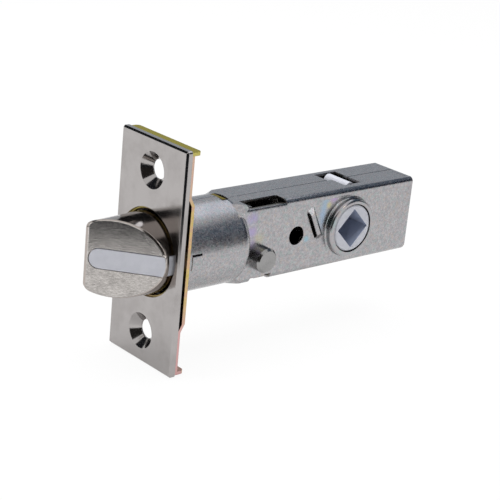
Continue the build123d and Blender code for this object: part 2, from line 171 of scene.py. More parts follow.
class NodeSheet:
    """A node tree with the ways to add to it."""

    def __init__(self, tree: bpy.types.NodeTree) -> None:
        """Keep the tree."""
        self.tree = tree

    def node(self, kind: str, settings: Optional[dict[str, Any]] = None,
             sockets: Optional[dict[Union[int, str], Any]] = None) -> bpy.types.Node:
        """Add any node.

        Args:
            kind: The node's type.
            settings: Its properties, or a ramp's stops, set first.
            sockets: Values or wires for its inputs.

        Returns:
            The new node.
        """
        made = self.tree.nodes.new(kind)
        for key, value in (settings or {}).items():
            if key == "stops":
                self._set_stops(made, value)
            else:
                setattr(made, key, value)
        for key, value in (sockets or {}).items():
            self.feed(made.inputs[key], value)
        return made

    def feed(self, target: bpy.types.NodeSocket, value: Any) -> None:
        """Link a wire to a socket, or set the socket's own value.

        Args:
            target: The socket.
            value: A wire, or a plain number or colour.
        """
        if isinstance(value, Wire):
            self.tree.links.new(value.socket, target)
        elif isinstance(value, tuple) and target.type == "RGBA":
            target.default_value = (*value, 1.0)
        else:
            target.default_value = value

    def _set_stops(self, made: bpy.types.Node, stops: Stops) -> None:
        """Set a colour ramp's stops in order.

        Args:
            made: The ramp's node.
            stops: Places along the ramp with their colours.
        """
        elements = made.color_ramp.elements
        while len(elements) < len(stops):
            elements.new(1.0)
        for element, (at, colour) in zip(elements, stops):
            element.position = at
            element.color = (*colour, 1.0)

    def find(self, kind: str) -> bpy.types.Node:
        """The tree's own node of that type."""
        return next(n for n in self.tree.nodes if n.type == kind)

    def seen(self, camera: float = 1.0, mirror: float = 1.0) -> Wire:
        """Share for what is looked at, 0 for light that falls on surfaces.

        Args:
            camera: The share for the camera.
            mirror: The share for reflections and clear pieces.

        Returns:
            The share.
        """
        rays = self.node("ShaderNodeLightPath").outputs
        kinds = ("Is Camera Ray", "Is Glossy Ray", "Is Transmission Ray")
        direct, glossy, clear = (Wire(self, rays[kind]) for kind in kinds)
        return (direct * camera).greater(glossy.greater(clear) * mirror)


class ShaderSheet(NodeSheet):
    """One material's nodes, ending in its Principled surface."""

    def __init__(self, name: str) -> None:
        """Start a material.

        Args:
            name: The material's name.
        """
        self.material = bpy.data.materials.new(name)
        self.material.use_nodes = True
        super().__init__(self.material.node_tree)
        self.surface = self.find("BSDF_PRINCIPLED")
        self._place: Optional[Wire] = None

    def place(self) -> Wire:
        """Position on the object.

        Returns:
            The position, in metres of the part's own frame.
        """
        if self._place is None:
            self._place = Wire(self, self.node("ShaderNodeTexCoord").outputs["Object"])
        return self._place

    def axes(self) -> tuple[Wire, Wire, Wire]:
        """The position's x, y and z."""
        node = self.node("ShaderNodeSeparateXYZ", None, {0: self.place()})
        return tuple(Wire(self, out) for out in node.outputs)

    def noise(self, size: float, detail: float = 2.0, rough: float = 0.5,
              stretch: Triple = (1.0, 1.0, 1.0), seed: float = 0.0) -> Wire:
        """Smooth noise over the object.

        Args:
            size: Size of its features, in millimetres.
            detail: Octaves.
            rough: Weight of the finer octaves.
            stretch: How many times longer the features are along each axis.
            seed: Shift that gives another pattern.

        Returns:
            The noise, about 0 to 1.
        """
        scale = tuple(1.0 / (size * MM * s) for s in stretch)
        shift = (seed, seed * 1.7, seed * 0.6)
        moved = self.node("ShaderNodeMapping", None,
                          {"Vector": self.place(), "Scale": scale, "Location": shift})
        node = self.node("ShaderNodeTexNoise", None, {
            "Vector": Wire(self, moved.outputs[0]), "Scale": 1.0, "Detail": detail, "Roughness": rough,
        })
        return Wire(self, node.outputs[0])

    def ramp(self, value: Wire, stops: Stops) -> Wire:
        """Colour ramp."""
        return Wire(self, self.node("ShaderNodeValToRGB", {"stops": stops}, {0: value}).outputs[0])

    def mix(self, share: Value, first: Paint, second: Paint) -> Wire:
        """Colour between first and second by share."""
        node = self.node("ShaderNodeMix", {"data_type": "RGBA"}, {0: share, 6: first, 7: second})
        return Wire(self, node.outputs[2])

    def near(self, centre: Triple, inner: float, outer: float) -> Wire:
        """Soft ball round a point.

        Args:
            centre: The point, in millimetres.
            inner: Radius within which it is 1, in millimetres.
            outer: Radius beyond which it is 0, in millimetres.

        Returns:
            The share, 0 to 1.
        """
        at = tuple(c * MM for c in centre)
        node = self.node("ShaderNodeVectorMath", {"operation": "DISTANCE"}, {0: self.place(), 1: at})
        return Wire(self, node.outputs["Value"]).step(outer * MM, inner * MM)

    def bump(self, height: Wire, depth: float, edge: float = 0.0) -> Wire:
        """Normal from a height.

        Args:
            height: The height, 0 to 1.
            depth: How many millimetres a height of 1 stands.
            edge: Radius of the softened edges, in millimetres.

        Returns:
            The normal.
        """
        sockets = {"Height": height, "Distance": depth * MM}
        if edge:
            soft = self.node("ShaderNodeBevel", {"samples": BEVEL_SAMPLES}, {"Radius": edge * MM})
            sockets["Normal"] = Wire(self, soft.outputs[0])
        return Wire(self, self.node("ShaderNodeBump", None, sockets).outputs[0])

    def glow(self, tone: Colour) -> Wire:
        """Even light of its own, the same from all sides."""
        node = self.node("ShaderNodeEmission", None, {"Color": tone, "Strength": 1.0})
        return Wire(self, node.outputs[0])

    def end(self, shader: Wire) -> bpy.types.Material:
        """Make another shader the surface, and give the material."""
        self.feed(self.find("OUTPUT_MATERIAL").inputs[0], shader)
        return self.material

    def finish(self, **sockets: Any) -> bpy.types.Material:
        """Feed the surface's sockets.

        Args:
            sockets: Values or wires under the sockets' names, with underscores for spaces.

        Returns:
            The material.
        """
        for key, value in sockets.items():
            self.feed(self.surface.inputs[key.replace("_", " ")], value)
        return self.material


@dataclass(frozen=True)
class SatinNickel:
    """Warm nickel plate, polished, with faint smears and a trace of brushing up and down."""

    name: str = "satin_nickel"
    colour: Colour = (0.38, 0.362, 0.356)
    smear: Colour = (0.32, 0.302, 0.295)
    rough: float = 0.12
    edge: float = 0.16
    brush_depth: float = 0.0012

    def make(self) -> bpy.types.Material:
        """Build the material.

        Returns:
            The material.
        """
        s = ShaderSheet(self.name)
        smears = s.noise(7.0, detail=3.0, rough=0.6).step(0.4, 0.68)
        brush = s.noise(0.12, detail=2.0, rough=0.6, stretch=(1.0, 1.0, 30.0))
        specks = s.noise(0.35, detail=2.0, rough=0.7, seed=3.1).step(0.66, 0.76)
        tone = s.mix(smears * 0.7 + specks * 0.3, self.colour, self.smear)
        rough = self.rough + smears * 0.06 + (brush - 0.5) * 0.06
        return s.finish(Base_Color=tone, Metallic=1.0, Roughness=rough,
                        Normal=s.bump(brush, self.brush_depth, self.edge))


@dataclass(frozen=True)
class BoltNickel:
    """Nickel of the bolt: ground grain on the bevel with painted shade that lightens it towards the top, and
    polished round sides.
    """

    name: str = "bolt_nickel"
    side: Colour = (0.4, 0.36, 0.335)
    grain_dark: Colour = (0.17, 0.158, 0.15)
    grain_light: Colour = (0.74, 0.705, 0.675)
    rough: float = 0.11
    edge: float = 0.16
    grain_depth: float = 0.009
    tip: float = -14.6
    slope: float = 0.8878
    tip_y: float = 4.2
    bevel_skin: Span = (0.2, 0.05)
    height_shade_rise: Span = (-9.0, 10.0)

    def make(self) -> bpy.types.Material:
        """Build the material.

        Returns:
            The material.
        """
        s = ShaderSheet(self.name)
        x, y, z = s.axes()
        off_plane = abs(x - self.tip * MM + (y - self.tip_y * MM) * self.slope)
        on_bevel = off_plane.span(self.bevel_skin)
        grain = s.noise(0.15, detail=3.0, rough=0.85, stretch=(7.0, 7.0, 1.0))
        cloud = s.noise(2.4, detail=3.0, rough=0.65, stretch=(1.6, 1.6, 1.0), seed=4.0)
        worn = s.noise(1.1, detail=2.0, rough=0.6, seed=8.0)
        # Painted shade: the ground grain on the bevel turns lighter towards the top.
        height_shade = z.span(self.height_shade_rise)
        lines = (grain * 0.95 + cloud * 0.3 + height_shade * 0.16).step(0.3, 1.05)
        ground = s.mix(lines, self.grain_dark, self.grain_light)
        tone = s.mix(on_bevel, self.side, ground)
        rough = self.rough + worn * 0.06 + on_bevel * (grain * 0.08 - 0.05)
        return s.finish(Base_Color=tone, Metallic=1.0, Roughness=rough,
                        Normal=s.bump(grain * on_bevel, self.grain_depth, self.edge))


@dataclass(frozen=True)
class YellowZinc:
    """Yellow chromate over zinc: gold in the middle, pink above, rose below, olive on the top flange.

    A shade under 1 darkens it, as in a deep place.
    """

    name: str = "yellow_zinc"
    shade: float = 1.0
    rough: float = 0.24
    edge: float = 0.1
    speck_depth: float = 0.004
    gold: Stops = (
        (0.3, (0.34, 0.31, 0.1)), (0.42, (0.5, 0.39, 0.13)), (0.5, (0.55, 0.41, 0.18)),
        (0.58, (0.53, 0.34, 0.22)), (0.68, (0.42, 0.36, 0.2)),
    )
    pink: Colour = (0.56, 0.38, 0.33)
    rose: Colour = (0.57, 0.335, 0.345)
    olive: Colour = (0.43, 0.4, 0.08)
    graze: Colour = (0.9, 0.82, 0.5)
    dusk: Colour = (0.05, 0.05, 0.015)
    fleck: Colour = (0.28, 0.24, 0.12)
    pink_rise: Span = (14.0, 17.5)
    rose_fall: Span = (-5.0, -19.0)
    olive_rise: Span = (26.9, 27.6)

    def make(self) -> bpy.types.Material:
        """Build the material.

        Returns:
            The material.
        """
        s = ShaderSheet(self.name)
        z = s.axes()[2]
        film = s.ramp(s.noise(5.0, detail=3.0, rough=0.55, stretch=(1.0, 1.0, 0.7)), self.gold)
        film = s.mix(abs(z).span(self.pink_rise) * 0.75, film, self.pink)
        film = s.mix(z.span(self.rose_fall) * 0.85, film, self.rose)
        film = s.mix(z.span(self.olive_rise) * 0.85, film, self.olive)
        film = s.mix(1 - self.shade, film, self.dusk)
        specks = s.noise(0.25, detail=2.0, rough=0.7, seed=5.0)
        tone = s.mix(specks.step(0.6, 0.8) * 0.5, film, self.fleck)
        rough = self.rough + (specks - 0.5) * 0.16
        return s.finish(Base_Color=tone, Metallic=1.0, Roughness=rough, Specular_Tint=self.graze,
                        Normal=s.bump(specks, self.speck_depth, self.edge))


@dataclass(frozen=True)
class TintSpot:
    """Where the zinc's clear film shows colour: centre, radii and tint."""

    centre: Triple
    inner: float
    outer: float
    tint: Colour
    amount: float


@dataclass(frozen=True)
class BrightZinc:
    """Bright zinc on pressed steel: speckled satin grey with faint film colours, and painted shade on the
    case's inside walls.
    """

    name: str = "bright_zinc"
    dark: Colour = (0.235, 0.235, 0.25)
    light: Colour = (0.52, 0.52, 0.525)
    inner_shade: Colour = (0.11, 0.1, 0.075)
    hues: Stops = (
        (0.3, (0.31, 0.365, 0.345)), (0.43, (0.34, 0.36, 0.365)), (0.52, (0.37, 0.345, 0.37)),
        (0.66, (0.4, 0.365, 0.33)),
    )
    rough: float = 0.27
    edge: float = 0.22
    speck_depth: float = 0.011
    collar_y: float = 9.6
    collar_r: float = 8.9
    collar_ease: float = 0.5
    collar_foot: Span = (8.1, 8.3)
    wall_x: Span = (26.0, 26.5)
    wall_y: Span = (7.7, 7.4)
    wall_z: Span = (10.05, 9.75)
    spots: tuple[TintSpot, ...] = ()

    def make(self) -> bpy.types.Material:
        """Build the material.

        Returns:
            The material.
        """
        s = ShaderSheet(self.name)
        x, y, z = s.axes()
        near, far = (s.near((HUB_X, y_side, 0.0), self.collar_r, self.collar_r + self.collar_ease)
                     for y_side in (-self.collar_y, self.collar_y))
        rubbed = near.greater(far) * abs(y).span(self.collar_foot)
        speck = (s.noise(0.6, detail=4.0, rough=0.72) - 0.5) * (1 - rubbed * 0.75) + 0.5
        cloud = s.noise(4.5, detail=3.0, rough=0.55, seed=2.0)
        tone = s.ramp(s.noise(1.0, detail=3.0, rough=0.75, seed=9.0), self.hues)
        tone = s.mix(speck.step(0.53, 0.33) * 0.6, tone, self.dark)
        tone = s.mix(speck.step(0.5, 0.68) * 0.52, tone, self.light)
        drift = s.noise(1.6, detail=2.0, rough=0.5, stretch=(1.0, 1.0, 2.5), seed=6.0).step(0.25, 0.55)
        for spot in self.spots:
            share = s.near(spot.centre, spot.inner, spot.outer) * (drift * 0.6 + 0.4) * spot.amount
            tone = s.mix(share, tone, spot.tint)
        # Painted shade: the case's inside walls turn dark brown.
        shaded_inside = abs(y).span(self.wall_y) * abs(z).span(self.wall_z) * x.span(self.wall_x)
        tone = s.mix(shaded_inside * 0.85, tone, self.inner_shade)
        rough = self.rough - rubbed * 0.07 + (speck - 0.5) * 0.2 + (cloud - 0.5) * 0.12
        return s.finish(Base_Color=tone, Metallic=1.0, Roughness=rough,
                        Normal=s.bump(speck, self.speck_depth, self.edge))


@dataclass(frozen=True)
class Nylon:
    """Bluish white moulded nylon with a soft sheen."""

    name: str = "nylon"
    colour: Colour = (0.5, 0.51, 0.56)
    shade: Colour = (0.44, 0.45, 0.5)
    rough: float = 0.36
    edge: float = 0.1
    fine_depth: float = 0.002
    glow: float = 0.12
    glow_radius: Triple = (0.6, 0.6, 0.7)
    glow_scale: float = 0.8

    def tint(self, s: ShaderSheet) -> Wire:
        """Colour of the nylon over its surface."""
        cloud = s.noise(2.5, detail=3.0, rough=0.55)
        return s.mix(cloud.step(0.35, 0.7) * 0.6, self.colour, self.shade)

    def make(self) -> bpy.types.Material:
        """Build the material.

        Returns:
            The material.
        """
        s = ShaderSheet(self.name)
        fine = s.noise(0.12, detail=2.0, rough=0.6, seed=7.0)
        rough = self.rough + (fine - 0.5) * 0.14
        return s.finish(Base_Color=self.tint(s), Roughness=rough, Subsurface_Weight=self.glow,
                        Subsurface_Radius=self.glow_radius, Subsurface_Scale=self.glow_scale * MM,
                        Normal=s.bump(fine, self.fine_depth, self.edge))


@dataclass(frozen=True)
class HubNylon(Nylon):
    """The hub's nylon, with painted shade: dark slate inside its square hole, and near black where it runs
    inside the case.
    """

    name: str = "hub_nylon"
    hole_shade: Colour = (0.3, 0.34, 0.45)
    painted_shade: Colour = (0.06, 0.06, 0.065)
    hole_edge: Span = (5.4033, 5.3233)
    case_edge: Span = (9.6, 9.2)
    shade_top_edge: Span = (7.6, 7.0)

    def tint(self, s: ShaderSheet) -> Wire:
        """Colour of the nylon over its surface.

        Args:
            s: The material's nodes.

        Returns:
            The colour.
        """
        x, y, z = s.axes()
        # Painted shade: the square hole's walls turn dark slate.
        inner_shade = (abs(x - HUB_X * MM) + abs(z)).span(self.hole_edge)
        # Painted shade: the hub's body inside the case, below its top, turns near black.
        case_shade = abs(y).span(self.case_edge) * z.span(self.shade_top_edge)
        tone = s.mix(case_shade * 0.9, super().tint(s), self.painted_shade)
        return s.mix(inner_shade, tone, self.hole_shade)


@dataclass(frozen=True)
class MachinedSteel:
    """Plain steel: stamped sheet, turned pin or drawn wire."""

    name: str
    colour: Colour
    rough: float
    grain: Triple
    grain_size: float = 0.15
    depth: float = 0.004
    edge: float = 0.08
    stain: float = 0.72

    def make(self) -> bpy.types.Material:
        """Build the material.

        Returns:
            The material.
        """
        s = ShaderSheet(self.name)
        lines = s.noise(self.grain_size, detail=3.0, rough=0.65, stretch=self.grain)
        stain = s.noise(3.5, detail=3.0, rough=0.6, seed=1.5).step(0.45, 0.75)
        low = tuple(c * self.stain for c in self.colour)
        tone = s.mix(lines.step(0.35, 0.7) * 0.5 + stain * 0.35, self.colour, low)
        rough = self.rough + (lines - 0.5) * 0.16 + stain * 0.06
        return s.finish(Base_Color=tone, Metallic=1.0, Roughness=rough,
                        Normal=s.bump(lines, self.depth, self.edge))


@dataclass(frozen=True)
class ShadeFiller:
    """Near-black filler in the hub's running gaps, painted shade where the gaps show only shade."""

    name: str = "hub_gap_shade"
    colour: Colour = (0.018, 0.016, 0.013)
    shade_fleck: Colour = (0.05, 0.046, 0.04)
    rough: float = 0.4
    lump_depth: float = 0.02

    def make(self) -> bpy.types.Material:
        """Build the material.

        Returns:
            The material.
        """
        s = ShaderSheet(self.name)
        lumps = s.noise(0.5, detail=3.0, rough=0.6)
        tone = s.mix(lumps.step(0.45, 0.7), self.colour, self.shade_fleck)
        return s.finish(Base_Color=tone, Roughness=self.rough + lumps * 0.3,
                        Normal=s.bump(lumps, self.lump_depth))


def placed(name: str, data: bpy.types.ID) -> bpy.types.Object:
    """New object, linked to the scene.

    Args:
        name: The object's name.
        data: Its mesh, lamp or camera.

    Returns:
        The object.
    """
    obj = bpy.data.objects.new(name, data)
    bpy.context.scene.collection.objects.link(obj)
    return obj


class Dresser:
    """Puts finishes on the CAD nodes and on the pieces made here."""

    def __init__(self, nodes: dict[str, bpy.types.Object]) -> None:
        """Keep the frame's nodes by name."""
        self.nodes = nodes

    def dress(self, name: str, material: bpy.types.Material) -> None:
        """Give one node its finish and report it.

        Args:
            name: The node.
            material: Its finish.
        """
        obj = self.nodes[name]
        if not obj.material_slots:
            obj.data.materials.append(material)
        for place in obj.material_slots:
            place.material = material
        LOG.info("%s wears %s", name, material.name)

    def stand_in(self, name: str, node: str) -> bpy.types.Object:
        """Copy of a node that takes its place.

        Args:
            name: The new piece's name.
            node: The node that it replaces.

        Returns:
            The piece.
        """
        piece = placed(name, self.nodes[node].data.copy())
        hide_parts(node)
        return piece

    def add(self, piece: bpy.types.Object, body: str, material: bpy.types.Material,
            slot: Optional[str] = None) -> None:
        """Let a new piece ride on a body, give it its finish and report it.

        Args:
            piece: The new piece.
            body: The body that carries it.
            material: Its finish.
            slot: The record's material slot, where one fits; not used.
        """
        piece.data.materials.clear()
        piece.data.materials.append(material)
        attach(piece, body)
        LOG.info("%s wears %s", piece.name, material.name)


def swept(name: str, rings: list[list[Triple]], closed: bool = False) -> bpy.types.Object:
    """Closed solid through a row of like rings, smooth but for its sharp edges.

    Args:
        name: The new piece's name.
        rings: Points of each section, in millimetres.
        closed: Whether the last section joins the first, as in a hoop.

    Returns:
        The piece.
    """
    solid = bmesh.new()
    rows = [[solid.verts.new(tuple(c * MM for c in point)) for point in ring] for ring in rings]
    for first, second in zip(rows, rows[1:] + rows[:1] if closed else rows[1:]):
        for i in range(len(first)):
            solid.faces.new((first[i - 1], first[i], second[i], second[i - 1]))
    if not closed:
        solid.faces.new(rows[0])
        solid.faces.new(rows[-1])
    bmesh.ops.recalc_face_normals(solid, faces=solid.faces)
    mesh = bpy.data.meshes.new(name)
    solid.to_mesh(mesh)
    solid.free()
    mesh.shade_smooth()
    mesh.set_sharp_from_angle(angle=SHARP_ANGLE)
    return placed(name, mesh)


def turned(whole: int, step: int) -> list[float]:
    """Angles from 0 to whole degrees, a step apart, in radians."""
    return [math.radians(a) for a in range(0, whole + 1, step)]


@dataclass
class FrontPlates:
    """The face plate and the folded plate behind it, whose edge shows inside the bolt hole."""

    face: SatinNickel = SatinNickel()
    backing: YellowZinc = YellowZinc()
    # Painted shade: the lining wears a darkened copy of the yellow zinc.
    lining: YellowZinc = YellowZinc("lining_zinc", shade=0.42)
    dish_half: float = 15.0
    dish_slope: float = 2.0
    dish_shift: float = 0.85
    lining_r: float = 10.62
    hole_r: float = 11.13
    lining_front: float = 0.6
    lining_rear: float = 1.6
    lining_round: float = 0.15
    lining_step: int = 4

    def build_lining(self) -> bpy.types.Object:
        """Make the folded plate's turned-up edge, seen in the gap round the bolt.

        Returns:
            The piece.
        """
        inner, outer, soft = self.lining_r, self.hole_r, self.lining_round
        front, rear = self.lining_front, self.lining_rear
        section = [(inner, front + soft), (inner + soft, front), (outer, front), (outer, rear), (inner, rear)]
        rings = [[(x, r * math.cos(a), r * math.sin(a)) for r, x in section]
                 for a in turned(360 - self.lining_step, self.lining_step)]
        return swept("hole_lining", rings, closed=True)

    def build_backing(self, dresser: Dresser) -> bpy.types.Object:
        """Make the folded plate with its shallow dish, in the plain plate's place.

        Args:
            dresser: Holder of the frame's nodes.

        Returns:
            The piece.
        """
        piece = dresser.stand_in("dished_backing", "backing_plate")
        for point in piece.data.vertices:
            rise = (self.dish_half + self.dish_slope - abs(point.co.z) / MM) / self.dish_slope
            point.co.x -= min(max(rise, 0.0), 1.0) * self.dish_shift * MM
        return piece

    def dress(self, dresser: Dresser) -> None:
        """Build and dress the plates.

        Args:
            dresser: Holder of the frame's nodes.
        """
        dresser.dress("face_plate", self.face.make())
        dresser.add(self.build_backing(dresser), "case", self.backing.make(), "yellow_zinc")
        dresser.add(self.build_lining(), "case", self.lining.make(), "yellow_zinc")


@dataclass(frozen=True)
class CoilSpring:
    """A coil in the stiff CAD coil's place; its sizes are in millimetres."""

    name: str
    node: str
    joint: str
    fixed_end: float
    travel: float

    def build(self, dresser: Dresser, wire: bpy.types.Material) -> None:
        """Put a copy of the stiff coil in its place.

        Args:
            dresser: Holder of the frame's nodes.
            wire: The coil's finish.
        """
        coil = dresser.stand_in(self.name, self.node)
        dresser.add(coil, "case", wire, "spring_steel")
        end = self.fixed_end * MM
        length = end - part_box(self.node)[0][0]
        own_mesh(coil)


@dataclass
class LatchBolt:
    """The bolt with its insert and tail, the two springs and the bolt spring's seat."""

    groove: Span = (-2.83, 2.43)
    bridge_r: float = 10.33
    bridge_foot_r: float = 10.08
    bridge_run: float = 0.35
    bridge_lift: float = 0.19
    bridge_depth: float = 0.43
    bridge_end: float = -0.95
    bridge_steps: int = 12
    body: BoltNickel = BoltNickel()
    insert: Nylon = Nylon("insert_nylon", (0.465, 0.472, 0.515), (0.41, 0.416, 0.46))
    # Painted shade: the seat wears a darkened copy of the yellow zinc.
    seat: YellowZinc = YellowZinc("seat_zinc", shade=0.45)
    tail: MachinedSteel = MachinedSteel("tail_steel", (0.5, 0.5, 0.5), 0.32, (20.0, 1.0, 1.0))
    wire: MachinedSteel = MachinedSteel("spring_wire", (0.34, 0.34, 0.36), 0.28, (1.0, 6.0, 6.0))
    springs: tuple[CoilSpring, ...] = (
        CoilSpring("throwing_coil", "bolt_spring", "bolt_slide", 20.85, 14.4),
        CoilSpring("returning_coil", "bar_return_spring", "bar_slide", 83.175, 5.19),
    )

    def build_bridge(self) -> bpy.types.Object:
        """Band of the bolt's metal over the insert where it turns from the bevel to the side.

        Returns:
            The piece.
        """
        steep = math.atan(self.body.slope)
        low, high = self.groove
        over = (self.bridge_r, self.bridge_lift)
        foot = (self.bridge_foot_r, -self.bridge_lift)
        steps = self.bridge_steps
        path = [(low + (high - low) * i / steps, *over) for i in range(steps + 1)]
        path = [(low - self.bridge_run, *foot), *path, (high + self.bridge_run, *foot)]
        rings = []
        for z, radius, lift in path:
            outer = -math.sqrt(radius ** 2 - z ** 2)
            inner = outer + self.bridge_depth
            front = [self.body.tip + self.body.slope * (self.body.tip_y - y - lift * math.sin(steep))
                     - lift * math.cos(steep) for y in (outer, inner)]
            rings.append([(front[0], outer, z), (self.bridge_end, outer, z),
                          (self.bridge_end, inner, z), (front[1], inner, z)])
        return swept("insert_bridge", rings)

    def dress(self, dresser: Dresser) -> None:
        """Build and dress the bolt's pieces.

        Args:
            dresser: Holder of the frame's nodes.
        """
        nickel = self.body.make()
        dresser.dress("latch_bolt", nickel)
        dresser.add(self.build_bridge(), "bolt", nickel, "satin_nickel")
        dresser.dress("bolt_insert", self.insert.make())
        dresser.dress("bolt_tail", self.tail.make())
        dresser.dress("bolt_spring_seat", self.seat.make())
        wire = self.wire.make()
        for spring in self.springs:
            spring.build(dresser, wire)


@dataclass
class PressedCase:
    """The two half shells with their crisp rear and upper edges, and the lever's pivot."""

    half_width: float = 8.07
    half_height: float = 10.45
    rear: float = 84.025
    shell_round: float = 1.9
    rear_round: float = 0.4
    edge_round: float = 1.2
    edge_start: float = 37.62
    seam: float = 0.1
    sink: float = 0.06
    lip: float = 0.3
    tuck: Span = (0.1, 0.04)
    spots: tuple[TintSpot, ...] = (
        TintSpot((26.3, -8.07, 7.2), 0.3, 2.4, (0.33, 0.28, 0.52), 0.8),
        TintSpot((26.6, -8.07, 3.6), 0.3, 2.2, (0.35, 0.29, 0.5), 0.75),
        TintSpot((26.7, -8.07, 0.0), 0.3, 2.4, (0.36, 0.29, 0.46), 0.7),
        TintSpot((29.3, -8.07, 1.4), 0.2, 2.4, (0.45, 0.42, 0.28), 0.6),
        TintSpot((51.3, -8.07, 8.2), 0.2, 1.9, (0.29, 0.4, 0.5), 0.7),
        TintSpot((50.9, -8.07, 6.4), 0.2, 1.9, (0.28, 0.4, 0.52), 0.75),
        TintSpot((50.6, -8.07, 4.6), 0.2, 1.9, (0.28, 0.39, 0.53), 0.75),
        TintSpot((50.4, -8.07, 2.8), 0.2, 1.9, (0.29, 0.39, 0.52), 0.75),
        TintSpot((50.4, -8.07, 1.0), 0.2, 1.7, (0.3, 0.39, 0.5), 0.6),
        TintSpot((52.6, -8.2, 6.9), 0.3, 1.3, (0.5, 0.46, 0.27), 0.75),
        TintSpot((54.2, -8.3, 8.8), 0.3, 2.0, (0.42, 0.29, 0.5), 0.85),
        TintSpot((53.2, -9.0, 2.6), 0.3, 2.0, (0.28, 0.42, 0.42), 0.7),
        TintSpot((45.7, -8.07, -1.3), 0.2, 1.3, (0.25, 0.42, 0.5), 0.8),
    )
    pin: MachinedSteel = MachinedSteel("turned_steel", (0.3, 0.297, 0.295), 0.2, (1.0, 12.0, 1.0))

    def _filler(self, rounding: float) -> list[tuple[float, float]]:
        """Section that fills a rounded edge out to a smaller rounding.

        Args:
            rounding: The smaller radius.

        Returns:
            Distances in from the two faces that meet at the edge.
        """
        big, sink = self.shell_round, self.sink
        turns = turned(90, 15)
        front = [(rounding * (1 - math.cos(a)), rounding * (1 - math.sin(a))) for a in turns]
        inner = big - sink
        back = [(big - inner * math.cos(a), big - inner * math.sin(a)) for a in turns[-2:0:-1]]
        top, bottom = self.tuck
        return [(sink, big + self.lip), (0.0, big), *front, (big - top, 0.0), (big - bottom, sink), *back]

    def build_rear_rim(self, name: str, side: int) -> bpy.types.Object:
        """Crisp edge round one shell's rear end, from seam to seam.

        Args:
            name: The piece's name.
            side: -1 for the near shell, 1 for the far one.

        Returns:
            The piece.
        """
        big = self.shell_round
        y, z = self.half_width - big, self.half_height - big
        turns = turned(90, 9)
        path = [(side * self.seam, self.half_height, 0.0, 1.0)]
        for a in turns:
            ny, nz = side * math.sin(a), math.cos(a)
            path.append((side * y + big * ny, z + big * nz, ny, nz))
        for a in turns:
            ny, nz = side * math.cos(a), -math.sin(a)
            path.append((side * y + big * ny, -z + big * nz, ny, nz))
        path.append((side * self.seam, -self.half_height, 0.0, -1.0))
        section = self._filler(self.rear_round)
        return swept(name, [[(self.rear - b, py - a * ny, pz - a * nz) for a, b in section]
                            for py, pz, ny, nz in path])

    def build_top_edge(self, name: str) -> bpy.types.Object:
        """Crisp upper edge of the near shell, from the lever's slot to the rear.

        Args:
            name: The piece's name.

        Returns:
            The piece.
        """
        big, small = self.shell_round, self.rear_round
        section = self._filler(self.edge_round)
        rings = [[(self.edge_start, a - self.half_width, self.half_height - b) for a, b in section]]
        for turn in turned(90, 18):
            x, inset = self.rear - small * (1 - math.sin(turn)), small * (1 - math.cos(turn))
            shrunk = [Vector((a - big, b - big)) for a, b in section]
            shrunk = [v * (1 - inset / v.length) + Vector((big, big)) for v in shrunk]
            rings.append([(x, v.x - self.half_width, self.half_height - v.y) for v in shrunk])
        return swept(name, rings)

    def dress(self, dresser: Dresser) -> None:
        """Build the crisp edges, and dress them, the shells and the pivot's pieces.

        Args:
            dresser: Holder of the frame's nodes.
        """
        zinc = BrightZinc("edge_zinc", edge=0.0).make()
        rims = [self.build_rear_rim("rear_rim_near", -1), self.build_rear_rim("rear_rim_far", 1)]
        for piece in (*rims, self.build_top_edge("top_edge_near")):
            dresser.add(piece, "case", zinc, "bright_zinc")
        shell = BrightZinc(spots=self.spots).make()
        dresser.dress("case_near_half", shell)
        dresser.dress("case_far_half", shell)
        pin = self.pin.make()
        for name in ("lever_pivot_pin", "pivot_washer", "pivot_sleeve"):
            dresser.dress(name, pin)


@dataclass
class Retractor:
    """The lever, its stud, the bar and the spindle hub with near-black rings of painted shade in its gaps."""

    hub_radius: float = 6.3
    bore: float = 6.6
    shade_ring_gap: float = 0.02
    shade_ring_front: float = 9.2
    shade_ring_back: float = 8.2
    shade_ring_step: int = 6
    painted_shade: ShadeFiller = ShadeFiller()
    stamped: MachinedSteel = MachinedSteel("stamped_steel", (0.45, 0.45, 0.46), 0.34, (1.0, 1.0, 14.0))
    hub: HubNylon = HubNylon()

    def build_shade_ring(self, name: str, side: int) -> bpy.types.Object:
        """Near-black ring of painted shade between the hub and one collar.

        Args:
            name: The piece's name.
            side: -1 for the near collar, 1 for the far one.

        Returns:
            The piece.
        """
        inner, outer = self.hub_radius + self.shade_ring_gap, self.bore - self.shade_ring_gap
        front, back = self.shade_ring_front, self.shade_ring_back
        section = [(inner, front), (outer, front), (outer, back), (inner, back)]
        rings = [[(HUB_X + r * math.cos(a), side * y, r * math.sin(a)) for r, y in section]
                 for a in turned(360 - self.shade_ring_step, self.shade_ring_step)]
        return swept(name, rings, closed=True)

    def dress(self, dresser: Dresser) -> None:
        """Build the painted shade rings, and dress them and the retractor's pieces.

        Args:
            dresser: Holder of the frame's nodes.
        """
        painted_shade = self.painted_shade.make()
        # Painted shade: near-black rings fill the hub's running gaps.
        for name, side in (("near_hub_shade_ring", -1), ("far_hub_shade_ring", 1)):
            dresser.add(self.build_shade_ring(name, side), "case", painted_shade)
        steel = self.stamped.make()
        for name in ("retractor_lever", "lever_stud", "retractor_bar"):
            dresser.dress(name, steel)
        dresser.dress("spindle_hub", self.hub.make())


@dataclass(frozen=True)
class Lamp:
    """One soft area lamp: place, aim, size in metres and power in watts."""

    name: str
    place: Triple
    aim: Triple
    size: tuple[float, float]
    power: float


@dataclass(frozen=True)
class Card:
    """One even card that only reflections see.

    Its place, aim and size are in metres, a tone of 1 is white, and turn is in degrees about its normal.
    """

    name: str
    place: Triple
    aim: Triple
    size: tuple[float, float]
    tone: Colour = (0.02, 0.022, 0.026)
    turn: float = 0.0


def aimed(place: Triple, aim: Triple) -> Matrix:
    """Matrix of something at place that looks along its -Z at aim."""
    turn = (Vector(aim) - Vector(place)).to_track_quat("-Z", "Y")
    return Matrix.LocRotScale(Vector(place), turn, None)


